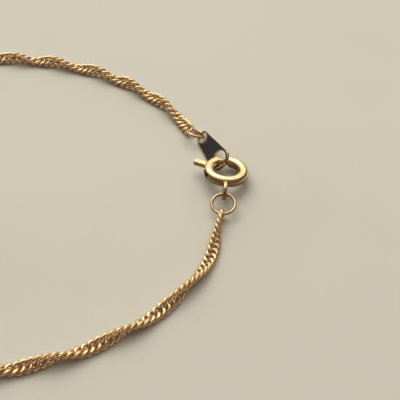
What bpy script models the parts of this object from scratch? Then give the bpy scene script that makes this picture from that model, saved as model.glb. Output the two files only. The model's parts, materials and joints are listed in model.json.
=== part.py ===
"""A gold chain bracelet, closed by a spring ring clasp and laid on a flat surface.

A flattened curb chain that is twisted along its length runs as one loop from a jump ring
on the clasp's eyelet to a jump ring in a flat two-hole end plate, and the clasp's wire
passes through the plate's larger hole. Here the chain is its solid twisted strip, with a
notched edge for each link and a round link at each end.

Lengths are metres and angles are degrees. +Z is up, and the surface is the plane z = 0.
"""

import math

import bmesh
import bpy
from mathutils import Matrix, Vector

MM = 0.001

# Running gap between pieces that touch on the real bracelet
PLAY = 0.06 * MM
# Distance under which corners of one mesh are the same corner
WELD = 0.0005 * MM

# Clasp: a split tube bent to a ring, measured round its axis from +X, against the clock
RING_DIAMETER = 5.5 * MM
TUBE_DIAMETER = 1.3 * MM
TUBE_WALL = 0.16 * MM
MOUTH_START = 80.0
MOUTH_END = 115.0
CLASP_SIDE_LEAN = 5.4
CLASP_FRONT_LEAN = 8.9

# Clasp: the sprung bolt and the thumb tab that draws it back
BOLT_PLAY = 0.09 * MM
BOLT_REACH = 8.0
TRIGGER_ANGLE = 157.0
TRIGGER_TRAVEL = 45.0
TRIGGER_OVERHANG = 1.35 * MM
TRIGGER_WIDTH = 0.7 * MM
TRIGGER_THICKNESS = 0.6 * MM

# Clasp: the loop soldered upright to its near side
EYELET_DIAMETER = 2.3 * MM
EYELET_WIRE = 0.52 * MM
EYELET_ANGLE = 267.0
EYELET_SOLDER = 0.33 * MM
# Distance of the loop's middle under the ring's plane
EYELET_DROP = 0.3 * MM
# Angle under the ring's plane at which the jump ring pulls on the loop
EYELET_PULL = 50.0

# Jump rings, each with the heading from the piece that it hangs on to the chain
CLASP_JUMP_DIAMETER = 3.1 * MM
CLASP_JUMP_WIRE = 0.38 * MM
CLASP_JUMP_HEADING = 263.0
PLATE_JUMP_DIAMETER = 2.8 * MM
PLATE_JUMP_WIRE = 0.4 * MM
PLATE_JUMP_HEADING = 136.0
PLATE_JUMP_SLACK = 0.15 * MM
PLATE_JUMP_TILT = 29.0

# End plate: its heading from the small hole to the large one, and its roll about that line
PLATE_HOLE_SPACING = 4.75 * MM
PLATE_THICKNESS = 0.3 * MM
PLATE_HOOK_PLAY = 1.0 * MM
PLATE_JUMP_PLAY = 1.0 * MM
PLATE_HOOK_RIM = 0.33 * MM
PLATE_JUMP_RIM = 0.24 * MM
PLATE_HEADING = 294.1
PLATE_ROLL = 48.4
PLATE_HOOK_ANGLE = 109.1
PLATE_HOOK_OUTSET = 0.243 * MM
PLATE_HOOK_RISE = 0.126 * MM

# Chain
CHAIN_WIDTH = 1.6 * MM
CHAIN_THICKNESS = 0.54 * MM
LINK_PITCH = 0.71 * MM
LINK_WIRE = 0.4 * MM
LINK_NOTCH = 0.11 * MM
# End link's middle, past the middle of the jump ring's wire in it
LINK_SLACK = 0.09 * MM
# Links to either side of the chain's middle among which its halves may meet
MIDDLE_REACH = 5

# Chosen points of the chain's middle, from the clasp's centre: millimetres, and degrees of twist
CHAIN_ROUTE = (
    # x, y, twist
    (-0.95, -7.55, 86.0),
    (-1.95, -12.66, 172.0),
    (-4.65, -17.28, 268.0),
    (-8.44, -21.09, 375.0),
    (-12.83, -24.02, 492.0),
    (-17.68, -26.13, 622.0),
    (-22.81, -27.41, 752.0),
    (-31.3, -28.3, 1010.0),
    (-39.8, -27.4, 1263.0),
    (-47.6, -24.1, 1500.0),
    (-53.9, -18.3, 1737.0),
    (-58.2, -10.9, 1973.0),
    (-59.9, -2.5, 2210.0),
    (-59.0, 6.0, 2447.0),
    (-55.4, 13.8, 2683.0),
    (-49.9, 19.6, 2903.0),
    (-43.2, 22.7, 3110.0),
    (-37.0, 23.8, 3286.0),
    (-30.88, 23.36, 3443.0),
    (-25.99, 22.92, 3589.0),
    (-21.22, 21.77, 3740.0),
    (-16.69, 20.0, 3870.0),
    (-12.49, 17.45, 4036.0),
    (-8.75, 14.27, 4184.0),
    (-6.05, 11.05, 4300.0),
)
CHAIN_START_TWIST = 90.0
CHAIN_END_TWIST = 4376.0

# Sides and steps of the round pieces
TUBE_SIDES = 16
BORE_SIDES = 12
TUBE_STEP = 7.5
WIRE_SIDES = 8
JUMP_STEPS = 32
EYELET_STEPS = 20
LINK_STEPS = 12
LINK_SIDES = 6
HOLE_STEPS = 24
ROUTE_SAMPLES = 40

# Sizes that follow
RING_RADIUS = (RING_DIAMETER - TUBE_DIAMETER) / 2
TUBE_RADIUS = TUBE_DIAMETER / 2
BORE_RADIUS = TUBE_RADIUS - TUBE_WALL
BOLT_RADIUS = BORE_RADIUS - BOLT_PLAY
EYELET_RADIUS = (EYELET_DIAMETER - EYELET_WIRE) / 2
EYELET_DISTANCE = RING_DIAMETER / 2 + EYELET_DIAMETER / 2 - EYELET_SOLDER
HOOK_HOLE_RADIUS = (TUBE_DIAMETER + PLATE_HOOK_PLAY) / 2
JUMP_HOLE_RADIUS = (PLATE_JUMP_WIRE + PLATE_JUMP_PLAY) / 2
HOOK_END_RADIUS = HOOK_HOLE_RADIUS + PLATE_HOOK_RIM
JUMP_END_RADIUS = JUMP_HOLE_RADIUS + PLATE_JUMP_RIM
LINK_RADIUS = (CHAIN_WIDTH - LINK_WIRE) / 2


def polar(radius, degrees, height=0.0):
    """Point at a radius and an angle round the Z axis."""
    angle = math.radians(degrees)
    return Vector((radius * math.cos(angle), radius * math.sin(angle), height))


def steps_between(start, end, step):
    """Angles from start to end, no further apart than step."""
    count = max(1, math.ceil(abs(end - start) / step))
    return [start + (end - start) * index / count for index in range(count + 1)]


def frame_matrix(origin, x_axis, z_axis):
    """Placing whose Z axis is z_axis and whose X axis is as near x_axis as it can be."""
    z_axis = z_axis.normalized()
    x_axis = (x_axis - x_axis.project(z_axis)).normalized()
    rotation = Matrix((x_axis, z_axis.cross(x_axis), z_axis)).transposed()
    return Matrix.Translation(origin) @ rotation.to_4x4()


# Scene, collections and materials

def clear_scene():
    """Remove the objects and collections that the file opens with."""
    for item in list(bpy.data.objects):
        bpy.data.objects.remove(item)
    for item in list(bpy.data.collections):
        bpy.data.collections.remove(item)


def new_collection(name):
    """Collection linked to the scene."""
    collection = bpy.data.collections.new(name)
    bpy.context.scene.collection.children.link(collection)
    return collection


def metal(name, colour, roughness):
    """Polished metal as a Principled material."""
    material = bpy.data.materials.new(name)
    material.use_nodes = True
    shader = material.node_tree.nodes["Principled BSDF"]
    shader.inputs["Base Color"].default_value = (*colour, 1.0)
    shader.inputs["Metallic"].default_value = 1.0
    shader.inputs["Roughness"].default_value = roughness
    return material


clear_scene()
PARTS = new_collection("chain_bracelet")
HELPERS = new_collection("helpers")
GOLD_CLASP = metal("clasp_gold", (0.83, 0.62, 0.26), 0.12)
GOLD_PLATE = metal("plate_gold", (0.80, 0.60, 0.27), 0.06)
GOLD_RINGS = metal("ring_gold", (0.84, 0.63, 0.30), 0.15)
GOLD_CHAIN = metal("chain_gold", (0.83, 0.56, 0.24), 0.2)


def add_part(name, mesh, matrix, material):
    """Object of the bracelet, shaded smooth up to its sharp edges."""
    mesh.name = name
    mesh.materials.clear()
    mesh.materials.append(material)
    mesh.shade_smooth()
    mesh.set_sharp_from_angle(angle=math.radians(35))
    part = bpy.data.objects.new(name, mesh)
    PARTS.objects.link(part)
    part.matrix_world = matrix
    return part


def add_helper(name, mesh, matrix):
    """Object that only cuts or joins, and is left out of the model."""
    helper = bpy.data.objects.new(name, mesh)
    HELPERS.objects.link(helper)
    helper.matrix_world = matrix
    helper.hide_render = True
    helper.display_type = 'WIRE'
    return helper


def combine(part, helper, operation):
    """Boolean of a helper on a part, kept as a modifier."""
    modifier = part.modifiers.new(helper.name, 'BOOLEAN')
    modifier.operation = operation
    modifier.solver = 'EXACT'
    modifier.object = helper


def attach(child, parent):
    """Parent an object where it stands."""
    placing = child.matrix_world.copy()
    bpy.context.view_layer.update()
    child.parent = parent
    child.matrix_parent_inverse = parent.matrix_world.inverted()
    child.matrix_world = placing


# Shapes

def mesh_of_curve(data):
    """Closed mesh of a curve's evaluated shape, with its caps welded on."""
    curve = bpy.data.objects.new("sweep", data)
    HELPERS.objects.link(curve)
    graph = bpy.context.evaluated_depsgraph_get()
    mesh = bpy.data.meshes.new_from_object(curve.evaluated_get(graph))
    bpy.data.objects.remove(curve)
    shape = bmesh.new()
    shape.from_mesh(mesh)
    bmesh.ops.remove_doubles(shape, verts=shape.verts, dist=WELD)
    bmesh.ops.recalc_face_normals(shape, faces=shape.faces)
    shape.to_mesh(mesh)
    shape.free()
    return mesh


def poly_curve(dimensions, outlines, cyclic):
    """Curve data with one POLY spline for each outline."""
    data = bpy.data.curves.new("sweep", 'CURVE')
    data.dimensions = dimensions
    data.resolution_u = 1
    data.render_resolution_u = 0
    for outline in outlines:
        spline = data.splines.new('POLY')
        spline.points.add(len(outline) - 1)
        for point, place in zip(spline.points, outline):
            point.co = (*place, 1.0)
        spline.use_cyclic_u = cyclic
    return data


def wire(points, radius, sides):
    """Round wire or bar along points, capped at both ends."""
    data = poly_curve('3D', [points], False)
    profile = poly_curve('2D', [[polar(radius, 360.0 * index / sides) for index in range(sides)]], True)
    return swept(data, profile)


def swept(data, profile_data):
    """Mesh of a curve that carries a closed profile."""
    profile = bpy.data.objects.new("profile", profile_data)
    HELPERS.objects.link(profile)
    data.bevel_mode = 'OBJECT'
    data.bevel_object = profile
    data.use_fill_caps = True
    mesh = mesh_of_curve(data)
    bpy.data.objects.remove(profile)
    return mesh


def flat_outline(outlines, thickness):
    """Flat piece with its holes, centred on the plane z = 0."""
    data = poly_curve('2D', outlines, True)
    data.fill_mode = 'BOTH'
    data.extrude = thickness / 2
    return mesh_of_curve(data)


def ring(radius, wire_radius, steps, sides):
    """Round ring about the Z axis."""
    bpy.ops.mesh.primitive_torus_add(major_radius=radius, minor_radius=wire_radius,
                                     major_segments=steps, minor_segments=sides)
    made = bpy.context.active_object
    mesh = made.data
    bpy.data.objects.remove(made)
    return mesh


# Places that the pieces share

def plate_places():
    """Matrix of the plate at its large hole, low long edge on the surface, and its small hole."""
    roll = math.radians(PLATE_ROLL)
    edge = PLATE_THICKNESS / 2 * math.cos(roll) + PLAY
    hook_height = HOOK_END_RADIUS * math.sin(roll) + edge
    jump_height = JUMP_END_RADIUS * math.sin(roll) + edge
    pitch = math.asin((hook_height - jump_height) / PLATE_HOLE_SPACING)
    along = polar(math.cos(pitch), PLATE_HEADING, math.sin(pitch))
    raised = polar(1.0, PLATE_HEADING + 90.0)
    normal = Matrix.Rotation(roll, 3, along) @ along.cross(raised)
    hook = polar(RING_RADIUS + PLATE_HOOK_OUTSET, PLATE_HOOK_ANGLE, hook_height)
    return frame_matrix(hook, along, normal), hook - along * PLATE_HOLE_SPACING


def clasp_place(hook):
    """Matrix of the clasp's axis: its tube passes through the plate's hole, by hook."""
    normal = Vector((math.tan(math.radians(CLASP_SIDE_LEAN)),
                     math.tan(math.radians(CLASP_FRONT_LEAN)), 1.0))
    height = hook.z - PLATE_HOOK_RISE + normal.x * hook.x + normal.y * hook.y
    return frame_matrix(Vector((0.0, 0.0, height)), Vector((1.0, 0.0, 0.0)), normal)


PLATE_MATRIX, JUMP_HOLE = plate_places()
CLASP_MATRIX = clasp_place(PLATE_MATRIX.translation)


def resting_height(twist):
    """Height of the chain's middle where it lies on the surface with this twist."""
    angle = math.radians(twist)
    return PLAY + math.hypot(CHAIN_WIDTH / 2 * math.sin(angle), CHAIN_THICKNESS / 2 * math.cos(angle))


def jump_place(near, height, heading, diameter, wire_diameter, tilt):
    """Matrix of a jump ring whose wire passes near, and the point of its wire at the chain.

    The ring reaches from near along its heading, down to the height of the chain there, and
    tilts about that line.
    """
    reach = diameter - wire_diameter
    rise = math.asin((height - near.z) / reach)
    across = polar(math.cos(rise), heading, math.sin(rise))
    side = polar(1.0, heading - 90.0)
    normal = Matrix.Rotation(math.radians(tilt), 3, across) @ across.cross(side)
    if normal.z < 0:
        normal.negate()
    return frame_matrix(near + across * reach / 2, across, normal), near + across * reach


def eyelet_seat():
    """Point where the jump ring's wire pulls on the eyelet."""
    slack = EYELET_RADIUS - EYELET_WIRE / 2 - CLASP_JUMP_WIRE / 2 - PLAY
    pull = math.radians(EYELET_PULL)
    out = EYELET_DISTANCE + slack * math.cos(pull)
    return CLASP_MATRIX @ polar(out, EYELET_ANGLE, -EYELET_DROP - slack * math.sin(pull))


def plate_jump_seat():
    """Point where the jump ring's wire pulls on the plate's small hole."""
    return JUMP_HOLE + polar(PLATE_JUMP_SLACK, PLATE_JUMP_HEADING)


CLASP_JUMP_MATRIX, CHAIN_START = jump_place(
    eyelet_seat(), resting_height(CHAIN_START_TWIST), CLASP_JUMP_HEADING, CLASP_JUMP_DIAMETER,
    CLASP_JUMP_WIRE, 0.0)
PLATE_JUMP_MATRIX, CHAIN_END = jump_place(
    plate_jump_seat(), resting_height(CHAIN_END_TWIST), PLATE_JUMP_HEADING, PLATE_JUMP_DIAMETER,
    PLATE_JUMP_WIRE, PLATE_JUMP_TILT)


# The chain's course

def spline_point(points, index, share):
    """Point of the smooth curve through points, a share of the way from index to the next."""
    first = points[max(index - 1, 0)]
    start = points[index]
    end = points[index + 1]
    last = points[min(index + 2, len(points) - 1)]
    square = share * share
    cube = square * share
    return (first * (2 * square - share - cube) + start * (2 - 5 * square + 3 * cube)
            + end * (share + 4 * square - 3 * cube) + last * (cube - square)) / 2


def course_of_chain():
    """Places along the chain: distance, centre and twist, from one jump ring to the other."""
    chosen = [Vector((CHAIN_START.x, CHAIN_START.y, CHAIN_START_TWIST))]
    chosen += [Vector((x * MM, y * MM, twist)) for x, y, twist in CHAIN_ROUTE]
    chosen += [Vector((CHAIN_END.x, CHAIN_END.y, CHAIN_END_TWIST))]
    course = []
    distance = 0.0
    for index in range(len(chosen) - 1):
        for sample in range(ROUTE_SAMPLES):
            x, y, twist = spline_point(chosen, index, sample / ROUTE_SAMPLES)
            place = Vector((x, y, resting_height(twist)))
            if course:
                distance += (place - course[-1][1]).length
            course.append((distance, place, twist))
    distance += (CHAIN_END - course[-1][1]).length
    course.append((distance, CHAIN_END.copy(), CHAIN_END_TWIST))
    return course


COURSE = course_of_chain()
CHAIN_LENGTH = COURSE[-1][0]
LINKS = round(CHAIN_LENGTH / LINK_PITCH)
STATION = CHAIN_LENGTH / LINKS


def course_at(distance):
    """Centre and twist of the chain at a distance along it."""
    low = 0
    high = len(COURSE) - 1
    while high - low > 1:
        middle = (low + high) // 2
        if COURSE[middle][0] <= distance:
            low = middle
        else:
            high = middle
    share = (distance - COURSE[low][0]) / (COURSE[high][0] - COURSE[low][0])
    centre = COURSE[low][1].lerp(COURSE[high][1], share)
    return centre, COURSE[low][2] + (COURSE[high][2] - COURSE[low][2]) * share


def chain_axes(distance):
    """Centre, direction and wide axis of the chain at a distance along it."""
    centre, twist = course_at(distance)
    step = STATION / 4
    direction = (course_at(distance + step)[0] - course_at(distance - step)[0]).normalized()
    side = Vector((-direction.y, direction.x, 0.0)).normalized()
    angle = math.radians(twist)
    return centre, direction, side * math.cos(angle) + Vector((0.0, 0.0, 1.0)) * math.sin(angle)


# Chain

def chain_profile():
    """Flat oval of the chain, its width along X."""
    half_width = CHAIN_WIDTH / 2
    half_thickness = CHAIN_THICKNESS / 2
    quarter = [(1.0, 0.36), (0.62, 1.0)]
    corners = quarter + [(-x, y) for x, y in reversed(quarter)]
    corners += [(-x, -y) for x, y in corners]
    return [(x * half_width, y * half_thickness, 0.0) for x, y in corners]


def chain_strip(first, last):
    """Twisted strip between two distances, drawn in at the notch between each two links."""
    count = round((last - first) / STATION * 2)
    notch = 1.0 - 2 * LINK_NOTCH / CHAIN_WIDTH
    distances = [first + (last - first) * index / count for index in range(count + 1)]
    data = poly_curve('3D', [[course_at(distance)[0] for distance in distances]], False)
    data.twist_mode = 'Z_UP'
    for index, (point, distance) in enumerate(zip(data.splines[0].points, distances)):
        point.tilt = math.radians(course_at(distance)[1])
        point.radius = notch if index % 2 else 1.0
    return swept(data, poly_curve('2D', [chain_profile()], True))


def end_link(name, distance, quarter_turn):
    """Round link of the chain at a distance along it."""
    centre, direction, wide = chain_axes(distance)
    normal = wide if quarter_turn else direction.cross(wide)
    mesh = ring(LINK_RADIUS, LINK_WIRE / 2, LINK_STEPS, LINK_SIDES)
    return add_helper(name, mesh, frame_matrix(centre, direction, normal))


def middle_station():
    """Distance along the chain where its halves meet, at the most upright link near its middle."""
    half = LINKS // 2
    near = [index * STATION for index in range(half - MIDDLE_REACH, half + MIDDLE_REACH + 1)]
    return min(near, key=lambda distance: abs(course_at(distance)[1] % 180.0 - 90.0))


def build_chain():
    """The chain in two halves, whose last links pass through each other."""
    start = LINK_SLACK
    end = CHAIN_LENGTH - LINK_SLACK
    half_gap = (2 * LINK_RADIUS - LINK_WIRE - PLAY) / 2
    middle = middle_station()
    spans = (
        # name, link at the jump ring, link at the middle, middle link turned
        ("chain_near", start, middle - half_gap, False),
        ("chain_far", end, middle + half_gap, True),
    )
    made = []
    for name, outer, inner, turned in spans:
        low, high = sorted((outer, inner))
        strip = chain_strip(low + LINK_RADIUS, high - LINK_RADIUS)
        part = add_part(name, strip, Matrix.Identity(4), GOLD_CHAIN)
        combine(part, end_link(name + "_end", outer, False), 'UNION')
        combine(part, end_link(name + "_middle", inner, turned), 'UNION')
        made.append(part)
    return made


# Clasp

def build_clasp_ring():
    """Hollow split ring with its soldered eyelet and the slot that the tab slides in."""
    around = [polar(RING_RADIUS, angle) for angle in steps_between(MOUTH_END, MOUTH_START + 360.0, TUBE_STEP)]
    part = add_part("clasp_ring", wire(around, TUBE_RADIUS, TUBE_SIDES), CLASP_MATRIX, GOLD_CLASP)
    centre = polar(EYELET_DISTANCE, EYELET_ANGLE, -EYELET_DROP)
    outward = polar(1.0, EYELET_ANGLE)
    tangent = polar(1.0, EYELET_ANGLE + 90.0)
    upright = CLASP_MATRIX @ frame_matrix(centre, outward, tangent)
    loop = ring(EYELET_RADIUS, EYELET_WIRE / 2, EYELET_STEPS, WIRE_SIDES)
    combine(part, add_helper("eyelet", loop, upright), 'UNION')
    past = math.degrees(PLAY / RING_RADIUS)
    inside = steps_between(MOUTH_END - past, MOUTH_START + 360.0 + past, TUBE_STEP)
    bore = wire([polar(RING_RADIUS, angle) for angle in inside], BORE_RADIUS, BORE_SIDES)
    combine(part, add_helper("bore", bore, CLASP_MATRIX), 'DIFFERENCE')
    combine(part, add_helper("slot", slot_mesh(), CLASP_MATRIX), 'DIFFERENCE')
    return part


def slot_mesh():
    """Sector that the tab needs between rest and fully open."""
    beside = math.degrees((TRIGGER_WIDTH / 2 + PLAY) / RING_RADIUS)
    angles = steps_between(TRIGGER_ANGLE - beside, TRIGGER_ANGLE + TRIGGER_TRAVEL + beside, TUBE_STEP)
    outer = [polar(RING_RADIUS + TUBE_DIAMETER, angle) for angle in angles]
    inner = [polar(RING_RADIUS, angle) for angle in reversed(angles)]
    return flat_outline([outer + inner], TRIGGER_THICKNESS + 2 * PLAY)


def build_trigger():
    """Curved bolt across the ring's mouth, with its thumb tab."""
    along = steps_between(MOUTH_START - BOLT_REACH, TRIGGER_ANGLE, TUBE_STEP)
    bolt = wire([polar(RING_RADIUS, angle) for angle in along], BOLT_RADIUS, BORE_SIDES)
    part = add_part("clasp_trigger", bolt, CLASP_MATRIX, GOLD_CLASP)
    tip = RING_DIAMETER / 2 + TRIGGER_OVERHANG
    half = TRIGGER_WIDTH / 2
    corner = half / 2
    outline = [(RING_RADIUS, -half), (tip - corner, -half), (tip, -half + corner),
               (tip, half - corner), (tip - corner, half), (RING_RADIUS, half)]
    tab = flat_outline([[(x, y, 0.0) for x, y in outline]], TRIGGER_THICKNESS)
    turned = CLASP_MATRIX @ Matrix.Rotation(math.radians(TRIGGER_ANGLE), 4, 'Z')
    combine(part, add_helper("tab", tab, turned), 'UNION')
    return part


# End plate and jump rings

def circle(radius, centre_x=0.0):
    """Closed outline of a round hole."""
    points = [polar(radius, 360.0 * index / HOLE_STEPS) for index in range(HOLE_STEPS)]
    return [point + Vector((centre_x, 0.0, 0.0)) for point in points]


def build_end_plate():
    """Flat tapered plate with a round end and a hole about each of its two centres."""
    taper = math.degrees(math.asin((HOOK_END_RADIUS - JUMP_END_RADIUS) / PLATE_HOLE_SPACING))
    meet = 90.0 + taper
    step = 360.0 / HOLE_STEPS
    hook_end = [polar(HOOK_END_RADIUS, angle) for angle in steps_between(-meet, meet, step)]
    shift = Vector((-PLATE_HOLE_SPACING, 0.0, 0.0))
    jump_end = [polar(JUMP_END_RADIUS, angle) + shift for angle in steps_between(meet, 360.0 - meet, step)]
    outlines = [hook_end + jump_end, circle(HOOK_HOLE_RADIUS), circle(JUMP_HOLE_RADIUS, -PLATE_HOLE_SPACING)]
    return add_part("end_plate", flat_outline(outlines, PLATE_THICKNESS), PLATE_MATRIX, GOLD_PLATE)


def build_jump_ring(name, diameter, wire_diameter, matrix):
    """Round ring of wire, closed."""
    mesh = ring((diameter - wire_diameter) / 2, wire_diameter / 2, JUMP_STEPS, WIRE_SIDES)
    return add_part(name, mesh, matrix, GOLD_RINGS)


# Assembly

def evaluated_corners(parts):
    """Corners of the parts' evaluated meshes in world space."""
    graph = bpy.context.evaluated_depsgraph_get()
    for part in parts:
        mesh = part.evaluated_get(graph).data
        for vertex in mesh.vertices:
            yield part.matrix_world @ vertex.co


def centre_loop(root, parts):
    """Bring the middle of the whole loop over the origin."""
    corners = list(evaluated_corners(parts))
    for axis in (0, 1):
        values = [corner[axis] for corner in corners]
        root.location[axis] = -(min(values) + max(values)) / 2


def build():
    """Build every piece and hang it on the bracelet's empties."""
    root = bpy.data.objects.new("bracelet", None)
    HELPERS.objects.link(root)
    axis = bpy.data.objects.new("clasp_axis", None)
    HELPERS.objects.link(axis)
    axis.matrix_world = CLASP_MATRIX
    clasp = build_clasp_ring()
    trigger = build_trigger()
    parts = [clasp, trigger, build_end_plate()]
    parts.append(build_jump_ring("jump_ring_clasp", CLASP_JUMP_DIAMETER, CLASP_JUMP_WIRE, CLASP_JUMP_MATRIX))
    parts.append(build_jump_ring("jump_ring_plate", PLATE_JUMP_DIAMETER, PLATE_JUMP_WIRE, PLATE_JUMP_MATRIX))
    parts += build_chain()
    bpy.context.view_layer.update()
    attach(axis, root)
    attach(trigger, axis)
    for item in list(PARTS.objects) + list(HELPERS.objects):
        if item.parent is None and item is not root:
            attach(item, root)
    bpy.context.view_layer.update()
    centre_loop(root, parts)
    bpy.context.view_layer.update()


build()
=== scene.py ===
"""The finished looks of a gold chain bracelet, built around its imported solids.

The bracelet is closed by its spring ring clasp and lies on a pale floor. Lengths are metres
and angles are degrees, +Z is up, and the floor is the plane z = 0.
"""

import json
import logging
import math
from dataclasses import dataclass
from enum import Enum
from typing import Any, Iterable

import bmesh
import bpy
from mathutils import Matrix, Vector


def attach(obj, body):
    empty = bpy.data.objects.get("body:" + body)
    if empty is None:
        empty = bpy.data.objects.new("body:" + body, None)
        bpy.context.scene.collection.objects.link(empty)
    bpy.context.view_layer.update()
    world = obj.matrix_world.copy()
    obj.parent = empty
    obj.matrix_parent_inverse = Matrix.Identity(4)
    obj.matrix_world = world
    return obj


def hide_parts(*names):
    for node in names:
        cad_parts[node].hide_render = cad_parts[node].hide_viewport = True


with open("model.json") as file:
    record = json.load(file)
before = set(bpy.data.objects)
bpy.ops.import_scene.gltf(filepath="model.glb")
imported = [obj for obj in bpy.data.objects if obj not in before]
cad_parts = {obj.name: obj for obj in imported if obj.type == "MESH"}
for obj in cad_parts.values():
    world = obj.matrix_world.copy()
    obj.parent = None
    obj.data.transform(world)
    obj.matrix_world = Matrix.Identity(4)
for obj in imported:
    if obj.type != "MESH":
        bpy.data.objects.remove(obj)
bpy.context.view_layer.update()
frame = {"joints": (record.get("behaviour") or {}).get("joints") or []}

LOG = logging.getLogger("bracelet")
MM = 0.001
WELD = 0.0002 * MM
# Running gap between pieces that touch on the real bracelet
PLAY = 0.06 * MM
# Across the chain, and through it
CHAIN_WIDTH = 1.6 * MM
CHAIN_THICKNESS = 0.54 * MM
# Share of the way to its upright height by which long links hold the chain up where it is flat
LINK_STIFFNESS = 0.28
# Wire of the clasp's jump ring, and heading and slack of the plate's
CLASP_JUMP_WIRE = 0.38 * MM
PLATE_JUMP_HEADING = 136.0
PLATE_JUMP_SLACK = 0.15 * MM
# Angles between two faces past which their edge is drawn sharp: on most pieces, and on a
# softened one, whose flat faces stay flat beside their rounded edges
SHARP_ANGLE = 40.0
SOFTENED_SHARP_ANGLE = 12.0
# Angle between two faces past which their edge is a rim
RIM_ANGLE = 60.0
# Sections along the round pieces, and corners of each section
TUBE_STEPS, TUBE_SIDES = 96, 40
BOLT_STEPS, BOLT_SIDES = 40, 28
LOOP_STEPS, LOOP_SIDES = 48, 20
JUMP_STEPS, JUMP_SIDES = 80, 20
BEAD_STEPS, BEAD_SIDES = 32, 20
SLOT_STEPS = 24
PLATE_END_SIDES = 72
PUNCH_SIDES = 64
# Noise values at which the plate is bright, and is dull
CLOUD_EDGES = (0.42, 0.72)
# Share of those clouds that shows on a finish with painted shade in its corners
CORNER_CLOUDS = 0.35


class Axis(Enum):
    """Direction of an axis in the bracelet's own frame."""

    X = (1.0, 0.0, 0.0)
    Z = (0.0, 0.0, 1.0)

    @property
    def vector(self) -> Vector:
        """The axis as a vector."""
        return Vector(self.value)


class Carving(Enum):
    """Way in which one closed shape works on another."""

    JOIN = 'UNION'
    CUT = 'DIFFERENCE'


def linear(code: str) -> tuple[float, float, float, float]:
    """Turn an sRGB hex colour to linear light.

    Args:
        code: six hex digits, such as "d9a441".

    Returns:
        Red, green and blue in linear light, and an alpha of one.
    """
    shares = [int(code[index:index + 2], 16) / 255 for index in (0, 2, 4)]
    light = [share / 12.92 if share <= 0.04045 else ((share + 0.055) / 1.055) ** 2.4 for share in shares]
    return light[0], light[1], light[2], 1.0


def polar(radius: float, degrees: float, height: float = 0.0) -> Vector:
    """Find a point round the Z axis.

    Args:
        radius: distance from the axis.
        degrees: angle from +X, against the clock.
        height: place along the axis.

    Returns:
        The point.
    """
    angle = math.radians(degrees)
    return Vector((radius * math.cos(angle), radius * math.sin(angle), height))


def resting_height(twist: float, stiffness: float = 0.0) -> float:
    """Find how high the chain's middle is where it lies on the floor.

    Args:
        twist: angle of the chain's wide axis over the floor, in degrees.
        stiffness: share of the way to its upright height by which it is held up.

    Returns:
        The height.
    """
    angle = math.radians(twist)
    upright = CHAIN_WIDTH / 2
    limp = math.hypot(upright * math.sin(angle), CHAIN_THICKNESS / 2 * math.cos(angle))
    return PLAY + limp + (upright - limp) * stiffness


def placing(origin: Vector, x_axis: Vector, z_axis: Vector) -> Matrix:
    """Make the matrix of a piece from where it stands and how it is turned.

    Args:
        origin: place of the piece's own origin.
        x_axis: direction that its X axis follows as nearly as it can.
        z_axis: direction of its Z axis.

    Returns:
        The matrix from the piece's own frame to the bracelet's.
    """
    up = z_axis.normalized()
    ahead = (x_axis - x_axis.project(up)).normalized()
    rotation = Matrix((ahead, up.cross(ahead), up)).transposed()
    return Matrix.Translation(origin) @ rotation.to_4x4()


def add_node(tree: bpy.types.NodeTree, kind: str, settings: dict[str, Any],
             inputs: dict[Any, Any]) -> bpy.types.Node:
    """Add a shader node with its settings, values and links.

    Args:
        tree: node tree that takes the node.
        kind: identifier of the node's type.
        settings: value of each property of the node.
        inputs: for each input's name or number, a value or the socket that feeds it.

    Returns:
        The new node.
    """
    node = tree.nodes.new(kind)
    for name, value in settings.items():
        setattr(node, name, value)
    for name, value in inputs.items():
        if isinstance(value, bpy.types.NodeSocket):
            tree.links.new(value, node.inputs[name])
        else:
            node.inputs[name].default_value = value
    return node


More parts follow.
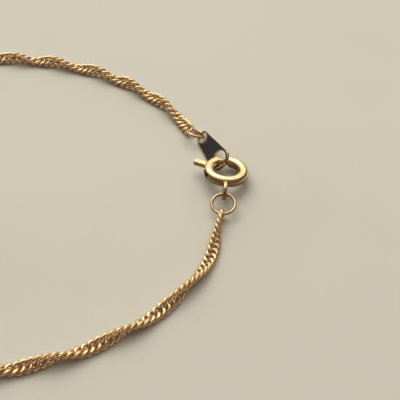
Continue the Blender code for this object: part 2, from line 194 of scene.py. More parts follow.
@dataclass(frozen=True)
class GoldPlate:
    """Gold plate on brass, polished to a given brightness.

    Attributes:
        name: what the finish is.
        colour: sRGB hex colour where the plate is bright.
        worn_and_shaded: sRGB hex colour where it is handled, and the painted shade colour of its corners
            where a corner attribute is given.
        roughness: roughness where bright and where dull.
        cloud: size of the clouds of duller plate, in metres.
        grain: size of the polishing marks, in metres.
        relief: depth of the polishing marks, in metres.
        corner_shade_attribute: name of the mesh attribute that is 0 in corners, which take painted shade,
            and 1 on unshaded faces, if any.
        under: sRGB hex colour of painted shade on the underside, darker and browner than the top, if it
            differs.
        fade: distances from the middle plane at which the underside's painted shade is full, and is gone.
    """

    name: str
    colour: str
    worn_and_shaded: str
    roughness: tuple[float, float]
    cloud: float
    grain: float
    relief: float
    corner_shade_attribute: str = ""
    under: str = ""
    fade: tuple[float, float] = (0.1 * MM, 0.28 * MM)

    def material(self, plane: Matrix | None = None) -> bpy.types.Material:
        """Build the finish as a node material.

        Args:
            plane: matrix whose XY plane parts the upper side from the underside with painted shade, if
                they differ.

        Returns:
            The material.
        """
        made = bpy.data.materials.new(self.name)
        made.use_nodes = True
        tree = made.node_tree
        shader = tree.nodes["Principled BSDF"]
        shader.inputs["Metallic"].default_value = 1.0
        place = add_node(tree, "ShaderNodeTexCoord", {}, {}).outputs["Object"]
        clouds = add_node(tree, "ShaderNodeTexNoise", {}, {
            "Vector": place, "Scale": 1 / self.cloud, "Detail": 3.0, "Roughness": 0.55}).outputs["Fac"]
        dull_and_shaded = add_node(tree, "ShaderNodeMapRange", {}, {
            "Value": clouds, "From Min": CLOUD_EDGES[0], "From Max": CLOUD_EDGES[1]}).outputs["Result"]
        # Painted shade: corners that the attribute marks take the worn colour, standing in for the shade
        # between the links
        if self.corner_shade_attribute:
            face = add_node(tree, "ShaderNodeAttribute", {"attribute_name": self.corner_shade_attribute}, {})
            corner_shade = add_node(tree, "ShaderNodeMath", {"operation": 'SUBTRACT'}, {
                0: 1.0, 1: face.outputs["Fac"]}).outputs[0]
            light = add_node(tree, "ShaderNodeMath", {"operation": 'MULTIPLY'}, {
                0: dull_and_shaded, 1: CORNER_CLOUDS}).outputs[0]
            dull_and_shaded = add_node(tree, "ShaderNodeMath", {"operation": 'MAXIMUM'}, {
                0: corner_shade, 1: light}).outputs[0]
        colour = add_node(tree, "ShaderNodeMix", {"data_type": 'RGBA'}, {
            "Factor": dull_and_shaded, 6: linear(self.colour), 7: linear(self.worn_and_shaded)}).outputs[2]
        # Painted shade: below the plane the colour turns darker and browner, standing in for the shaded
        # floor that the underside reflects
        if plane is not None:
            up = plane.col[2].to_3d()
            middle = up.dot(plane.translation)
            height = add_node(tree, "ShaderNodeVectorMath", {"operation": 'DOT_PRODUCT'}, {
                0: place, 1: up}).outputs["Value"]
            under_shade = add_node(tree, "ShaderNodeMapRange", {"interpolation_type": 'SMOOTHSTEP'}, {
                "Value": height, "From Min": middle + self.fade[0], "From Max": middle + self.fade[1],
                "To Min": 1.0, "To Max": 0.0}).outputs["Result"]
            colour = add_node(tree, "ShaderNodeMix", {"data_type": 'RGBA'}, {
                "Factor": under_shade, 6: colour, 7: linear(self.under)}).outputs[2]
            dull_and_shaded = add_node(tree, "ShaderNodeMath", {"operation": 'MAXIMUM'}, {
                0: dull_and_shaded, 1: under_shade}).outputs[0]
        tree.links.new(colour, shader.inputs["Base Color"])
        rough = add_node(tree, "ShaderNodeMapRange", {}, {
            "Value": dull_and_shaded, "To Min": self.roughness[0], "To Max": self.roughness[1]}).outputs["Result"]
        tree.links.new(rough, shader.inputs["Roughness"])
        marks = add_node(tree, "ShaderNodeTexNoise", {}, {
            "Vector": place, "Scale": 1 / self.grain, "Detail": 2.0}).outputs["Fac"]
        bump = add_node(tree, "ShaderNodeBump", {}, {
            "Height": marks, "Strength": 1.0, "Distance": self.relief}).outputs["Normal"]
        tree.links.new(bump, shader.inputs["Normal"])
        return made


# Turned and polished yellow gold plate: clear reflections above, and painted shade on the underside, which
# is browner and rougher
CLASP_PLATE = GoldPlate(
    name="polished_yellow_gold_plate", colour="f3dfa8", worn_and_shaded="d6b982", roughness=(0.12, 0.3),
    cloud=1.4 * MM, grain=0.25 * MM, relief=0.0006 * MM, under="94704e")
# Stamped and burnished sheet: almost a mirror, with a few rubbed clouds
SHEET_PLATE = GoldPlate(
    name="burnished_gold_plated_sheet", colour="e4c9a0", worn_and_shaded="c8aa84", roughness=(0.08, 0.14),
    cloud=2.2 * MM, grain=0.5 * MM, relief=0.0004 * MM)
# Drawn round wire: bright, with fine lines from the drawing die
WIRE_PLATE = GoldPlate(
    name="drawn_gold_plated_wire", colour="d4b98e", worn_and_shaded="a58663", roughness=(0.22, 0.34),
    cloud=0.9 * MM, grain=0.12 * MM, relief=0.0006 * MM)
# Diamond-cut links: bright polished facets outside, and painted shade, a duller redder colour, on the wire
# and in the corners between the links
LINK_PLATE = GoldPlate(
    name="diamond_cut_rose_gold_plate", colour="fbdcab", worn_and_shaded="d4ab80", roughness=(0.24, 0.48),
    cloud=0.8 * MM, grain=0.1 * MM, relief=0.0008 * MM, corner_shade_attribute="unshaded_face")


@dataclass(frozen=True)
class PaintedBoard:
    """Matt pale board that the bracelet lies on, with a faint tooth.

    Attributes:
        name: what the finish is.
        colour: sRGB hex colour of the board.
        shade: sRGB hex colour of its faint clouds.
        cloud: size of the clouds, in metres.
        tooth: size of the board's grain, in metres.
        relief: depth of the grain, in metres.
        roughness: roughness of the paint.
    """

    name: str
    colour: str
    shade: str
    cloud: float
    tooth: float
    relief: float = 0.006 * MM
    roughness: float = 0.75

    def material(self) -> bpy.types.Material:
        """Build the finish as a node material."""
        made = bpy.data.materials.new(self.name)
        made.use_nodes = True
        tree = made.node_tree
        shader = tree.nodes["Principled BSDF"]
        shader.inputs["Roughness"].default_value = self.roughness
        place = add_node(tree, "ShaderNodeTexCoord", {}, {}).outputs["Object"]
        clouds = add_node(tree, "ShaderNodeTexNoise", {}, {
            "Vector": place, "Scale": 1 / self.cloud, "Detail": 2.0}).outputs["Fac"]
        colour = add_node(tree, "ShaderNodeMix", {"data_type": 'RGBA'}, {
            "Factor": clouds, 6: linear(self.colour), 7: linear(self.shade)}).outputs[2]
        tree.links.new(colour, shader.inputs["Base Color"])
        grain = add_node(tree, "ShaderNodeTexNoise", {}, {
            "Vector": place, "Scale": 1 / self.tooth, "Detail": 3.0}).outputs["Fac"]
        bump = add_node(tree, "ShaderNodeBump", {}, {
            "Height": grain, "Strength": 1.0, "Distance": self.relief}).outputs["Normal"]
        tree.links.new(bump, shader.inputs["Normal"])
        return made


FLOOR_BOARD = PaintedBoard(
    name="matt_pale_board", colour="dcdacf", shade="d4d2c7", cloud=22.0 * MM, tooth=0.4 * MM)


def add_piece(name: str, shape: bmesh.types.BMesh, place: Matrix,
              sharp: float | None = SHARP_ANGLE) -> bpy.types.Object:
    """Turn a finished shape to an object at the origin.

    Args:
        name: the piece's name.
        shape: closed shape in its own frame, which is freed.
        place: matrix from its own frame to the bracelet's.
        sharp: angle past which an edge is drawn sharp, or None to keep the shape's own marks.

    Returns:
        The object, shaded smooth between sharp edges.
    """
    bmesh.ops.transform(shape, matrix=place, verts=shape.verts)
    mesh = bpy.data.meshes.new(name)
    shape.to_mesh(mesh)
    shape.free()
    if sharp is not None:
        mesh.shade_smooth()
        mesh.set_sharp_from_angle(angle=math.radians(sharp))
    piece = bpy.data.objects.new(name, mesh)
    bpy.context.scene.collection.objects.link(piece)
    return piece


def bake_modifiers(piece: bpy.types.Object, sharp: float = SHARP_ANGLE) -> None:
    """Keep a piece's evaluated shape as its mesh.

    Args:
        piece: object whose modifiers are applied.
        sharp: angle between two faces past which their edge is drawn sharp.
    """
    graph = bpy.context.evaluated_depsgraph_get()
    mesh = bpy.data.meshes.new_from_object(piece.evaluated_get(graph))
    piece.modifiers.clear()
    piece.data = mesh
    mesh.name = piece.name
    mesh.shade_smooth()
    mesh.set_sharp_from_angle(angle=math.radians(sharp))


def carve(piece: bpy.types.Object, tool: bpy.types.Object, way: Carving) -> None:
    """Join a closed shape to a piece or cut it out, and remove the tool.

    Args:
        piece: object that is changed.
        tool: closed object that works on it.
        way: what the tool does.
    """
    modifier = piece.modifiers.new("carve", 'BOOLEAN')
    modifier.operation = way.value
    modifier.solver = 'EXACT'
    modifier.object = tool
    modifier.use_self = True
    bake_modifiers(piece)
    bpy.data.objects.remove(tool)


def soften(piece: bpy.types.Object, width: float, segments: int = 3) -> None:
    """Round the sharp edges of a piece.

    Args:
        piece: object with hard edges.
        width: width of the rounding.
        segments: faces across it.
    """
    bevel = piece.modifiers.new("soften", 'BEVEL')
    bevel.width = width
    bevel.segments = segments
    bevel.limit_method = 'ANGLE'
    bevel.angle_limit = math.radians(SHARP_ANGLE)
    bevel.use_clamp_overlap = True
    bake_modifiers(piece, SOFTENED_SHARP_ANGLE)


def dress(piece: bpy.types.Object, material: bpy.types.Material, body: str,
          nodes: Iterable[str]) -> None:
    """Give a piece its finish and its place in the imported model.

    Args:
        piece: finished object.
        material: its finish.
        body: moving body that carries it.
        nodes: solids that it is shown in place of.
    """
    piece.data.materials.clear()
    piece.data.materials.append(material)
    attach(piece, body)
    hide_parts(*nodes)
    LOG.info("%s: %d faces", piece.name, len(piece.data.polygons))


def section_place(radius: float, start: float = 0.0) -> Matrix:
    """Stand a flat section upright beside the Z axis.

    Args:
        radius: radius of the section's middle.
        start: angle of the section round the axis.

    Returns:
        The section's matrix.
    """
    return (Matrix.Rotation(math.radians(start), 4, 'Z') @ Matrix.Translation((radius, 0.0, 0.0))
            @ Matrix.Rotation(math.radians(90), 4, 'X'))


def sweep(shape: bmesh.types.BMesh, degrees: float, steps: int) -> None:
    """Sweep a section part of the way round the Z axis, and weld the closed result.

    Args:
        shape: the section, which is swept in place.
        degrees: angle of the sweep.
        steps: sections along it.
    """
    bmesh.ops.spin(shape, geom=list(shape.verts) + list(shape.edges) + list(shape.faces), cent=(0, 0, 0),
                   axis=Axis.Z.value, dvec=(0, 0, 0), angle=math.radians(degrees), steps=steps,
                   use_merge=False, use_duplicate=False)
    bmesh.ops.remove_doubles(shape, verts=shape.verts, dist=WELD)
    bmesh.ops.recalc_face_normals(shape, faces=shape.faces)


def round_edges(shape: bmesh.types.BMesh, edges: list[bmesh.types.BMEdge], width: float,
                segments: int) -> None:
    """Round edges of a shape.

    Args:
        shape: shape that is changed.
        edges: its edges to round.
        width: width of the rounding.
        segments: faces across it.
    """
    bmesh.ops.bevel(shape, geom=edges, offset=width, offset_type='OFFSET', segments=segments,
                    profile=0.5, affect='EDGES', material=-1)


def rims(shape: bmesh.types.BMesh) -> list[bmesh.types.BMEdge]:
    """Find the edges at which a shape turns through more than the rim angle."""
    return [edge for edge in shape.edges if edge.calc_face_angle(0.0) > math.radians(RIM_ANGLE)]


def spun_ring(radius: float, wire_radius: float, steps: int, sides: int) -> bmesh.types.BMesh:
    """Spin a round section once round the Z axis.

    Args:
        radius: radius of the section's middle.
        wire_radius: radius of the section.
        steps: sections round the ring.
        sides: corners of each section.

    Returns:
        The closed ring.
    """
    shape = bmesh.new()
    made = bmesh.ops.create_circle(shape, segments=sides, radius=wire_radius, matrix=section_place(radius))
    section = made["verts"] + list(shape.edges)
    bmesh.ops.spin(shape, geom=section, cent=(0, 0, 0), axis=Axis.Z.value, dvec=(0, 0, 0),
                   angle=math.tau, steps=steps, use_merge=True, use_duplicate=False)
    bmesh.ops.remove_doubles(shape, verts=shape.verts, dist=WELD)
    bmesh.ops.recalc_face_normals(shape, faces=shape.faces)
    return shape


def spun_rod(radius: float, wire_radius: float, start: float, end: float, steps: int,
             sides: int) -> bmesh.types.BMesh:
    """Spin a round section part of the way round the Z axis, and cap its ends.

    Args:
        radius: radius of the section's middle.
        wire_radius: radius of the section.
        start: angle at which it begins.
        end: angle at which it stops.
        steps: sections along it.
        sides: corners of each section.

    Returns:
        The closed curved rod.
    """
    shape = bmesh.new()
    bmesh.ops.create_circle(shape, cap_ends=True, segments=sides, radius=wire_radius,
                            matrix=section_place(radius, start))
    sweep(shape, end - start, steps)
    return shape


@dataclass
class SpringRing:
    """Spring ring clasp: a hollow split ring with a sprung bolt and a soldered loop.

    Attributes:
        place: matrix of the ring's axis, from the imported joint.
        ring_diameter: outside of the ring.
        tube_diameter: outside of its tube.
        tube_wall: thickness of the tube.
        mouth: angles between which the ring is open.
        bolt_play: gap round the bolt.
        bolt_reach: angle by which the bolt enters the far end.
        trigger_angle: angle of the thumb tab.
        trigger_travel: angle through which it slides.
        trigger_overhang: length of the tab outside the ring.
        trigger_width: width of the tab.
        trigger_thickness: thickness of the tab.
        loop_diameter: outside of the soldered loop.
        loop_wire: wire of the loop.
        loop_angle: angle of the loop round the ring.
        loop_solder: depth by which it is sunk in its solder.
        loop_drop: distance of the loop's middle under the ring's plane.
        loop_pull: angle under the ring's plane at which the jump ring pulls on it.
        bead_radius: radius of the ball of solder before it is flattened.
        bead_shape: its flattening out from the ring, along the ring and across the ring's plane.
        rim_rounding: width of the rounding at the tube's rims.
        bolt_rounding: width of the rounding at the bolt's ends.
        tab_rounding: width of the rounding at the tab's edges.
    """

    place: Matrix
    ring_diameter: float = 5.5 * MM
    tube_diameter: float = 1.3 * MM
    tube_wall: float = 0.16 * MM
    mouth: tuple[float, float] = (80.0, 115.0)
    bolt_play: float = 0.09 * MM
    bolt_reach: float = 8.0
    trigger_angle: float = 157.0
    trigger_travel: float = 45.0
    trigger_overhang: float = 1.35 * MM
    trigger_width: float = 0.7 * MM
    trigger_thickness: float = 0.6 * MM
    loop_diameter: float = 2.3 * MM
    loop_wire: float = 0.52 * MM
    loop_angle: float = 267.0
    loop_solder: float = 0.33 * MM
    loop_drop: float = 0.3 * MM
    loop_pull: float = 50.0
    bead_radius: float = 0.5 * MM
    bead_shape: tuple[float, float, float] = (0.42, 0.78, 0.72)
    rim_rounding: float = 0.05 * MM
    bolt_rounding: float = 0.14 * MM
    tab_rounding: float = 0.05 * MM

    @property
    def radius(self) -> float:
        """Radius of the tube's middle."""
        return (self.ring_diameter - self.tube_diameter) / 2

    @property
    def bore(self) -> float:
        """Radius of the tube's bore."""
        return self.tube_diameter / 2 - self.tube_wall

    @property
    def loop_distance(self) -> float:
        """Distance from the ring's middle to the loop's."""
        return self.ring_diameter / 2 + self.loop_diameter / 2 - self.loop_solder

    def pull_point(self, jump_wire: float) -> Vector:
        """Find where a jump ring's wire pulls on the loop.

        Args:
            jump_wire: diameter of the jump ring's wire.

        Returns:
            Middle of that wire, in the bracelet's frame.
        """
        slack = self.loop_diameter / 2 - self.loop_wire - jump_wire / 2 - PLAY
        pull = math.radians(self.loop_pull)
        out = self.loop_distance + slack * math.cos(pull)
        return self.place @ polar(out, self.loop_angle, -self.loop_drop - slack * math.sin(pull))

    def hollow_tube(self) -> bmesh.types.BMesh:
        """Spin the tube's wall from one side of the mouth to the other, and round its rims."""
        shape = bmesh.new()
        start, end = self.mouth[1], self.mouth[0] + 360.0
        upright = section_place(self.radius, start)
        for radius in (self.tube_diameter / 2, self.bore):
            bmesh.ops.create_circle(shape, segments=TUBE_SIDES, radius=radius, matrix=upright)
        bmesh.ops.bridge_loops(shape, edges=list(shape.edges))
        sweep(shape, end - start, TUBE_STEPS)
        round_edges(shape, rims(shape), self.rim_rounding, 3)
        return shape

    def loop(self) -> bpy.types.Object:
        """Build the upright loop, to be joined to the ring."""
        centre = polar(self.loop_distance, self.loop_angle, -self.loop_drop)
        outward = polar(1.0, self.loop_angle)
        tangent = polar(1.0, self.loop_angle + 90.0)
        upright = self.place @ placing(centre, outward, tangent)
        radius = (self.loop_diameter - self.loop_wire) / 2
        shape = spun_ring(radius, self.loop_wire / 2, LOOP_STEPS, LOOP_SIDES)
        return add_piece("loop", shape, upright)

    def solder(self) -> bpy.types.Object:
        """Build the bead of solder between the loop and the ring."""
        shape = bmesh.new()
        bmesh.ops.create_uvsphere(shape, u_segments=BEAD_STEPS, v_segments=BEAD_SIDES,
                                  radius=self.bead_radius)
        bmesh.ops.scale(shape, vec=self.bead_shape, verts=shape.verts)
        at = self.place @ Matrix.Rotation(math.radians(self.loop_angle), 4, 'Z')
        sunk = Matrix.Translation((self.ring_diameter / 2, 0.0, -self.loop_drop / 2))
        return add_piece("solder", shape, at @ sunk)

    def slot(self) -> bpy.types.Object:
        """Build the sector that the tab slides in, to be cut from the tube."""
        beside = math.degrees((self.trigger_width / 2 + PLAY) / self.radius)
        start = self.trigger_angle - beside
        end = self.trigger_angle + self.trigger_travel + beside
        shape = bmesh.new()
        depth = self.tube_diameter
        height = self.trigger_thickness + 2 * PLAY
        turned = section_place(self.radius + depth / 2, start) @ Matrix.Diagonal((depth, height, 1.0, 1.0))
        bmesh.ops.create_grid(shape, x_segments=1, y_segments=1, size=0.5, matrix=turned)
        sweep(shape, end - start, SLOT_STEPS)
        return add_piece("slot", shape, self.place)

    def build_ring(self) -> bpy.types.Object:
        """Build the ring with its loop, solder and slot."""
        ring = add_piece("clasp_ring_turned", self.hollow_tube(), self.place)
        carve(ring, self.slot(), Carving.CUT)
        carve(ring, self.loop(), Carving.JOIN)
        carve(ring, self.solder(), Carving.JOIN)
        return ring

    def build_trigger(self) -> bpy.types.Object:
        """Build the bolt with its thumb tab."""
        shape = spun_rod(self.radius, self.bore - self.bolt_play, self.mouth[0] - self.bolt_reach,
                         self.trigger_angle, BOLT_STEPS, BOLT_SIDES)
        round_edges(shape, rims(shape), self.bolt_rounding, 4)
        trigger = add_piece("clasp_trigger_bolt", shape, self.place)
        carve(trigger, self.tab(), Carving.JOIN)
        return trigger

    def tab(self) -> bpy.types.Object:
        """Build the thumb tab, a flat bar with rounded edges."""
        shape = bmesh.new()
        tip = self.ring_diameter / 2 + self.trigger_overhang
        length = tip - self.radius
        bar = Matrix.Translation((self.radius + length / 2, 0.0, 0.0)) @ Matrix.Diagonal(
            (length, self.trigger_width, self.trigger_thickness, 1.0))
        bmesh.ops.create_cube(shape, size=1.0, matrix=bar)
        round_edges(shape, list(shape.edges), self.tab_rounding, 4)
        turned = self.place @ Matrix.Rotation(math.radians(self.trigger_angle), 4, 'Z')
        return add_piece("tab", shape, turned)

    def make(self, material: bpy.types.Material) -> None:
        """Build and dress the clasp.

        Args:
            material: finish of the ring and its trigger.
        """
        dress(self.build_ring(), material, "bracelet", ["clasp_ring"])
        dress(self.build_trigger(), material, "trigger", ["clasp_trigger"])


@dataclass
class EndPlate:
    """Flat tapered end plate, with a large hole for the clasp and a small one for a jump ring.

    Attributes:
        anchor: point of the floor under the clasp's middle.
        ring: the clasp, whose tube passes through the large hole.
        hole_spacing: distance between the holes.
        thickness: thickness of the sheet.
        hook_hole: diameter of the large hole.
        jump_hole: diameter of the small hole.
        hook_rim: width of metal round the large hole.
        jump_rim: width of metal round the small hole.
        heading: direction from the small hole to the large one.
        roll: turn of the plate about that line.
        hook_angle: angle of the large hole round the clasp.
        hook_outset: distance of the large hole outside the tube's middle.
        rounding: width of the rounding at its edges.
    """

    anchor: Vector
    ring: SpringRing
    hole_spacing: float = 4.75 * MM
    thickness: float = 0.3 * MM
    hook_hole: float = 2.3 * MM
    jump_hole: float = 1.4 * MM
    hook_rim: float = 0.33 * MM
    jump_rim: float = 0.24 * MM
    heading: float = 294.1
    roll: float = 48.4
    hook_angle: float = 109.1
    hook_outset: float = 0.243 * MM
    rounding: float = 0.05 * MM

    @property
    def hook_end(self) -> float:
        """Radius of the plate's large end."""
        return self.hook_hole / 2 + self.hook_rim

    @property
    def jump_end(self) -> float:
        """Radius of the plate's small end."""
        return self.jump_hole / 2 + self.jump_rim

    def places(self) -> tuple[Matrix, Vector]:
        """Lay the plate's low long edge on the floor.

        Returns:
            Matrix of the plate at its large hole, and the middle of its small hole.
        """
        roll = math.radians(self.roll)
        edge = self.thickness / 2 * math.cos(roll) + PLAY
        hook_height = self.hook_end * math.sin(roll) + edge
        jump_height = self.jump_end * math.sin(roll) + edge
        pitch = math.asin((hook_height - jump_height) / self.hole_spacing)
        along = polar(math.cos(pitch), self.heading, math.sin(pitch))
        raised = polar(1.0, self.heading + 90.0)
        normal = Matrix.Rotation(roll, 3, along) @ along.cross(raised)
        hook = self.anchor + polar(self.ring.radius + self.hook_outset, self.hook_angle, hook_height)
        return placing(hook, along, normal), hook - along * self.hole_spacing

    def blank(self) -> bmesh.types.BMesh:
        """Stretch a hull round the two ends, and give it the sheet's thickness."""
        shape = bmesh.new()
        for centre, radius in ((0.0, self.hook_end), (-self.hole_spacing, self.jump_end)):
            for height in (-self.thickness / 2, self.thickness / 2):
                at = Matrix.Translation((centre, 0.0, height))
                bmesh.ops.create_circle(shape, segments=PLATE_END_SIDES, radius=radius, matrix=at)
        made = bmesh.ops.convex_hull(shape, input=shape.verts)
        loose = [item for item in made["geom_interior"] if isinstance(item, bmesh.types.BMVert)]
        bmesh.ops.delete(shape, geom=loose, context='VERTS')
        bmesh.ops.dissolve_limit(shape, angle_limit=math.radians(1), verts=shape.verts, edges=shape.edges)
        bmesh.ops.recalc_face_normals(shape, faces=shape.faces)
        return shape

    def punch(self, diameter: float, centre: float, place: Matrix) -> bpy.types.Object:
        """Build the punch of a round hole.

        Args:
            diameter: diameter of the hole.
            centre: its place along the plate.
            place: matrix of the plate.

        Returns:
            The punch, longer than the sheet is thick.
        """
        shape = bmesh.new()
        at = Matrix.Translation((centre, 0.0, 0.0))
        bmesh.ops.create_cone(shape, cap_ends=True, segments=PUNCH_SIDES, radius1=diameter / 2,
                              radius2=diameter / 2, depth=4 * self.thickness, matrix=at)
        return add_piece("punch", shape, place)

    def make(self, material: bpy.types.Material) -> None:
        """Build and dress the plate.

        Args:
            material: finish of the plate.
        """
        place, _ = self.places()
        plate = add_piece("end_plate_stamped", self.blank(), place)
        carve(plate, self.punch(self.hook_hole, 0.0, place), Carving.CUT)
        carve(plate, self.punch(self.jump_hole, -self.hole_spacing, place), Carving.CUT)
        soften(plate, self.rounding)
        dress(plate, material, "bracelet", ["end_plate"])


@dataclass
class JumpRing:
    """Round ring of wire, closed at a butt joint.

    Attributes:
        name: name of the piece.
        node: solid that it is shown in place of.
        near: point of its wire at the piece that it hangs on.
        heading: direction from there to the chain.
        diameter: outside of the ring.
        wire: diameter of the wire.
        height: height of its wire at the chain.
        tilt: tilt about the line from near to the chain.
        joint: angle of the butt joint round the ring.
        joint_gap: width of the butt joint.
        rounding: width of the rounding at its edges.
    """

    name: str
    node: str
    near: Vector
    heading: float
    diameter: float
    wire: float
    height: float
    tilt: float
    joint: float
    joint_gap: float = 0.02 * MM
    rounding: float = 0.02 * MM

    def place(self) -> tuple[Matrix, Vector]:
        """Lay the ring between its two ends.

        Returns:
            Matrix of the ring, and the point of its wire at the chain.
        """
        reach = self.diameter - self.wire
        rise = math.asin((self.height - self.near.z) / reach)
        across = polar(math.cos(rise), self.heading, math.sin(rise))
        side = polar(1.0, self.heading - 90.0)
        normal = Matrix.Rotation(math.radians(self.tilt), 3, across) @ across.cross(side)
        if normal.z < 0:
            normal.negate()
        return placing(self.near + across * reach / 2, across, normal), self.near + across * reach

    def make(self, material: bpy.types.Material) -> None:
        """Build and dress the ring.

        Args:
            material: finish of the ring.
        """
        place, _ = self.place()
        radius = (self.diameter - self.wire) / 2
        gap = math.degrees(self.joint_gap / radius)
        shape = spun_rod(radius, self.wire / 2, self.joint + gap / 2, self.joint + 360.0 - gap / 2,
                         JUMP_STEPS, JUMP_SIDES)
        round_edges(shape, rims(shape), self.rounding, 2)
        dress(add_piece(self.name, shape, place), material, "bracelet", [self.node])


@dataclass
class Course:
    """Way of the chain from one jump ring to the other, and its twist.

    Attributes:
        anchor: point of the floor under the clasp's middle.
        start: point of the first jump ring's wire.
        end: point of the last jump ring's wire.
        samples: steps between each two chosen points.
    """

    anchor: Vector
    start: Vector
    end: Vector
    samples: int = 40

    # Chosen points from the anchor: millimetres, and degrees of twist
    ROUTE = (
        (-0.95, -7.55, 86.0), (-1.95, -12.66, 172.0), (-4.65, -17.28, 268.0), (-8.44, -21.09, 375.0),
        (-12.83, -24.02, 492.0), (-17.68, -26.13, 622.0), (-22.81, -27.41, 752.0), (-31.3, -28.3, 1010.0),
        (-39.8, -27.4, 1263.0), (-47.6, -24.1, 1500.0), (-53.9, -18.3, 1737.0), (-58.2, -10.9, 1973.0),
        (-59.9, -2.5, 2210.0), (-59.0, 6.0, 2447.0), (-55.4, 13.8, 2683.0), (-49.9, 19.6, 2903.0),
        (-43.2, 22.7, 3110.0), (-37.0, 23.8, 3286.0), (-30.88, 23.36, 3443.0), (-25.99, 22.92, 3589.0),
        (-21.22, 21.77, 3740.0), (-16.69, 20.0, 3870.0), (-12.49, 17.45, 4036.0), (-8.75, 14.27, 4184.0),
        (-6.05, 11.05, 4300.0))
    TWISTS = (90.0, 4376.0)

    def __post_init__(self) -> None:
        """Lay the course out as distance, centre and twist."""
        chosen = [Vector((self.start.x, self.start.y, self.TWISTS[0]))]
        chosen += [Vector((self.anchor.x + x * MM, self.anchor.y + y * MM, twist))
                   for x, y, twist in self.ROUTE]
        chosen += [Vector((self.end.x, self.end.y, self.TWISTS[1]))]
        self.stops: list[tuple[float, Vector, float]] = []
        distance = 0.0
        for index in range(len(chosen) - 1):
            for sample in range(self.samples):
                x, y, twist = self.between(chosen, index, sample / self.samples)
                place = Vector((x, y, resting_height(twist, LINK_STIFFNESS)))
                if self.stops:
                    distance += (place - self.stops[-1][1]).length
                self.stops.append((distance, place, twist))
        distance += (self.end - self.stops[-1][1]).length
        self.stops.append((distance, self.end.copy(), self.TWISTS[1]))
        self.length = distance

    @staticmethod
    def between(points: list[Vector], index: int, share: float) -> Vector:
        """Find a point of the smooth curve through points.

        Args:
            points: points that the curve passes through.
            index: point before the wanted one.
            share: share of the way to the next point.

        Returns:
            The point.
        """
        first = points[max(index - 1, 0)]
        start = points[index]
        end = points[index + 1]
        last = points[min(index + 2, len(points) - 1)]
        square = share * share
        cube = square * share
        return (first * (2 * square - share - cube) + start * (2 - 5 * square + 3 * cube)
                + end * (share + 4 * square - 3 * cube) + last * (cube - square)) / 2

    def at(self, distance: float) -> tuple[Vector, float]:
        """Find the chain's centre and twist at a distance along it.

        Args:
            distance: distance from the first jump ring's wire.

        Returns:
            The centre, and the twist in degrees.
        """
        low, high = 0, len(self.stops) - 1
        while high - low > 1:
            middle = (low + high) // 2
            if self.stops[middle][0] <= distance:
                low = middle
            else:
                high = middle
        span = self.stops[high][0] - self.stops[low][0]
        share = (distance - self.stops[low][0]) / span
        centre = self.stops[low][1].lerp(self.stops[high][1], share)
        return centre, self.stops[low][2] + (self.stops[high][2] - self.stops[low][2]) * share

    def link_place(self, distance: float, step: float) -> Matrix:
        """Place a link, with X along the chain and Y along its wide axis.

        Args:
            distance: distance of the link's middle along the chain.
            step: distance over which the direction is taken.

        Returns:
            The link's matrix.
        """
        centre, twist = self.at(distance)
        direction = (self.at(distance + step)[0] - self.at(distance - step)[0]).normalized()
        side = Vector((-direction.y, direction.x, 0.0)).normalized()
        angle = math.radians(twist)
        wide = side * math.cos(angle) + Axis.Z.vector * math.sin(angle)
        return placing(centre, direction, direction.cross(wide))


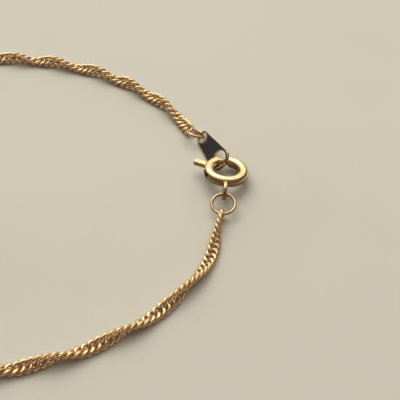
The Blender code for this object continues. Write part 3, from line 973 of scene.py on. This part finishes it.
@dataclass
class CurbChain:
    """Flattened curb chain of separate links, twisted along its length.

    Attributes:
        course: where the chain lies.
        width: width of a link across the chain.
        thickness: thickness of a link between its cut faces.
        pitch: distance between links, as near as a whole number allows.
        wire: thickness of a link's wire.
        lift: height by which a link's wire weaves over and under its neighbours.
        slack: distance of the end links' middles from the jump rings' wire.
        reach: links to either side of the middle among which the halves may meet.
        steps: sections round a link.
        sides: corners of each section.
        wire_shine: most that the round wire counts as an open face.
    """

    course: Course
    width: float = CHAIN_WIDTH
    thickness: float = CHAIN_THICKNESS
    pitch: float = 0.71 * MM
    wire: float = 0.44 * MM
    lift: float = 0.22 * MM
    slack: float = 0.2 * MM
    reach: int = 5
    steps: int = 16
    # wire_shine: most that the round wire counts as an unshaded face, so that even its outer side keeps
    # some painted shade.
    sides: int = 6
    wire_shine: float = 0.6

    def link(self) -> bmesh.types.BMesh:
        """Spin one link, weave it up and down, cut its top and bottom flat, and mask where it takes
        painted shade.
        """
        along = (self.pitch + self.wire) / 2
        across = (self.width - self.wire) / 2
        shape = spun_ring(along, self.wire / 2, self.steps, self.sides)
        unshaded_face = shape.verts.layers.float.new("unshaded_face")
        half = self.thickness / 2
        for vert in shape.verts:
            turn = math.atan2(vert.co.y, vert.co.x)
            reach = math.hypot(vert.co.x, vert.co.y)
            out = (reach - along) / self.wire + 0.5
            vert.co.y *= across / along
            raised = vert.co.z - self.lift * math.sin(2 * turn)
            vert.co.z = max(-half, min(half, raised))
            # Mask of painted shade: 1 on the cut facets, falling to 0 on the wire's inner side between the
            # links
            vert[unshaded_face] = 1.0 if abs(raised) > half else max(0.0, min(self.wire_shine, out))
        cut = {face for face in shape.faces
               if all(abs(abs(vert.co.z) - half) < WELD for vert in face.verts)}
        for edge in shape.edges:
            edge.smooth = len(cut.intersection(edge.link_faces)) != 1
        return shape

    def half(self, name: str, first: int, last: int, count: int) -> bpy.types.Object:
        """Hang the links of one half of the chain on its course.

        Args:
            name: name of the piece.
            first: number of its first link.
            last: number of the link after its last one.
            count: number of links in the whole chain.

        Returns:
            The piece.
        """
        link = self.link()
        mesh = bpy.data.meshes.new("link")
        link.to_mesh(mesh)
        link.free()
        shape = bmesh.new()
        spacing = (self.course.length - 2 * self.slack) / (count - 1)
        for number in range(first, last):
            before = len(shape.verts)
            shape.from_mesh(mesh)
            shape.verts.ensure_lookup_table()
            place = self.course.link_place(self.slack + number * spacing, spacing / 4)
            bmesh.ops.transform(shape, matrix=place, verts=shape.verts[before:])
        for face in shape.faces:
            face.smooth = True
        return add_piece(name, shape, Matrix.Identity(4), None)

    def make(self, material: bpy.types.Material) -> None:
        """Build and dress both halves of the chain.

        Args:
            material: finish of the links.
        """
        count = round((self.course.length - 2 * self.slack) / self.pitch) + 1
        near_middle = range(count // 2 - self.reach, count // 2 + self.reach + 1)
        middle = min(near_middle, key=lambda number: abs(
            self.course.at(self.course.length * number / count)[1] % 180.0 - 90.0))
        near = self.half("chain_links_near", 0, middle, count)
        dress(near, material, "bracelet", ["chain_near"])
        far = self.half("chain_links_far", middle, count, count)
        dress(far, material, "bracelet", ["chain_far"])


@dataclass
class Studio:
    """Pale floor, soft light and the camera.

    Attributes:
        anchor: point of the floor under the clasp's middle.
        camera_offset: camera's place from the anchor.
        elevation: angle at which the camera looks down.
        field: angle of view.
        floor_size: side of the floor.
        sky_azimuth: direction of the middle of the room's bright side.
        sky_elevation: its angle above the floor.
        sky_edges: cosines of the angles from that middle at which the bright side ends, and is full.
        wall_edges: heights in the dim room at which its low wall ends, and its high wall starts.
        room_strength: brightness of the whole room.
    """

    anchor: Vector
    camera_offset: tuple[float, float, float] = (-3.12227 * MM, -75.28876 * MM, 74.42166 * MM)
    elevation: float = 46.0
    field: float = 25.768
    floor_size: float = 900.0 * MM
    sky_azimuth: float = 98.0
    sky_elevation: float = 52.0
    sky_edges: tuple[float, float] = (0.52, 0.78)
    wall_edges: tuple[float, float] = (0.22, 0.45)
    room_strength: float = 1.2

    def add_light(self, name: str, azimuth: float, elevation: float, distance: float,
                  size: tuple[float, float], power: float, colour: str) -> None:
        """Add a soft light that faces the bracelet.

        Args:
            name: the light's name.
            azimuth: direction of the light from +X, against the clock.
            elevation: its angle above the floor.
            distance: its distance.
            size: its width and height.
            power: its power in watts.
            colour: its sRGB hex colour.
        """
        data = bpy.data.lights.new(name, 'AREA')
        data.shape = 'RECTANGLE'
        data.size, data.size_y = size
        data.energy = power
        data.color = linear(colour)[:3]
        light = bpy.data.objects.new(name, data)
        bpy.context.scene.collection.objects.link(light)
        away = polar(math.cos(math.radians(elevation)), azimuth, math.sin(math.radians(elevation)))
        light.location = self.anchor + away * distance
        light.rotation_euler = away.to_track_quat('Z', 'Y').to_euler()

    def add_lights(self) -> None:
        """Add the window to the left and behind, and the room with its bright side there."""
        self.add_light(name="window", azimuth=106.0, elevation=50.0, distance=500 * MM,
                       size=(420 * MM, 300 * MM), power=0.95, colour="fffcf0")
        world = bpy.data.worlds.new("room")
        world.use_nodes = True
        tree = world.node_tree
        direction = add_node(tree, "ShaderNodeTexCoord", {}, {}).outputs["Generated"]
        height = add_node(tree, "ShaderNodeSeparateXYZ", {}, {"Vector": direction}).outputs["Z"]
        wall = add_node(tree, "ShaderNodeValToRGB", {}, {"Fac": height})
        colours = ("39404f", "66564a")
        for element, position, colour in zip(wall.color_ramp.elements, self.wall_edges, colours):
            element.position = position
            element.color = linear(colour)
        elevation = math.radians(self.sky_elevation)
        bright = polar(math.cos(elevation), self.sky_azimuth, math.sin(elevation))
        toward = add_node(tree, "ShaderNodeVectorMath", {"operation": 'DOT_PRODUCT'}, {
            0: direction, 1: bright})
        share = add_node(tree, "ShaderNodeMapRange", {"interpolation_type": 'SMOOTHSTEP'}, {
            "Value": toward.outputs["Value"], "From Min": self.sky_edges[0],
            "From Max": self.sky_edges[1]}).outputs["Result"]
        room = add_node(tree, "ShaderNodeMix", {"data_type": 'RGBA'}, {
            "Factor": share, 6: wall.outputs["Color"], 7: linear("fffaf0")})
        background = tree.nodes["Background"]
        tree.links.new(room.outputs[2], background.inputs["Color"])
        background.inputs["Strength"].default_value = self.room_strength
        bpy.context.scene.world = world

    def add_floor(self) -> None:
        """Add the floor."""
        shape = bmesh.new()
        bmesh.ops.create_grid(shape, x_segments=1, y_segments=1, size=self.floor_size / 2)
        floor = add_piece("floor", shape, Matrix.Translation((self.anchor.x, self.anchor.y, 0.0)))
        floor.data.materials.append(FLOOR_BOARD.material())

    def add_camera(self) -> None:
        """Add the camera, level and looking along +Y."""
        data = bpy.data.cameras.new("camera")
        data.angle = math.radians(self.field)
        data.clip_start = 1 * MM
        camera = bpy.data.objects.new("camera", data)
        bpy.context.scene.collection.objects.link(camera)
        camera.location = self.anchor + Vector(self.camera_offset)
        camera.rotation_euler = (math.radians(90.0 - self.elevation), 0.0, 0.0)
        bpy.context.scene.camera = camera

    def make(self) -> None:
        """Set the whole studio up."""
        self.add_floor()
        self.add_lights()
        self.add_camera()
        bpy.context.scene.view_settings.view_transform = 'Standard'


def main() -> None:
    """Build the bracelet's pieces in order."""
    logging.basicConfig(level=logging.INFO, format="%(name)s: %(message)s")
    joint = frame["joints"][0]
    middle = Vector(joint["pos_m"])
    anchor = Vector((middle.x, middle.y, 0.0))
    clasp = SpringRing(placing(middle, Axis.X.vector, Vector(joint["axis"])))
    clasp.make(CLASP_PLATE.material(clasp.place))
    plate = EndPlate(anchor, clasp)
    plate.make(SHEET_PLATE.material())
    wire = WIRE_PLATE.material()
    start, end = (resting_height(twist) for twist in Course.TWISTS)
    clasp_jump = JumpRing(
        name="jump_ring_at_clasp", node="jump_ring_clasp", near=clasp.pull_point(CLASP_JUMP_WIRE),
        heading=263.0, diameter=3.1 * MM, wire=CLASP_JUMP_WIRE, height=start, tilt=0.0, joint=35.0)
    slack = polar(PLATE_JUMP_SLACK, PLATE_JUMP_HEADING)
    plate_jump = JumpRing(
        name="jump_ring_at_plate", node="jump_ring_plate", near=plate.places()[1] + slack,
        heading=PLATE_JUMP_HEADING, diameter=2.8 * MM, wire=0.4 * MM, height=end, tilt=29.0, joint=250.0)
    clasp_jump.make(wire)
    plate_jump.make(wire)
    course = Course(anchor, clasp_jump.place()[1], plate_jump.place()[1])
    CurbChain(course).make(LINK_PLATE.material())
    Studio(anchor).make()


if __name__ == "__main__":
    main()
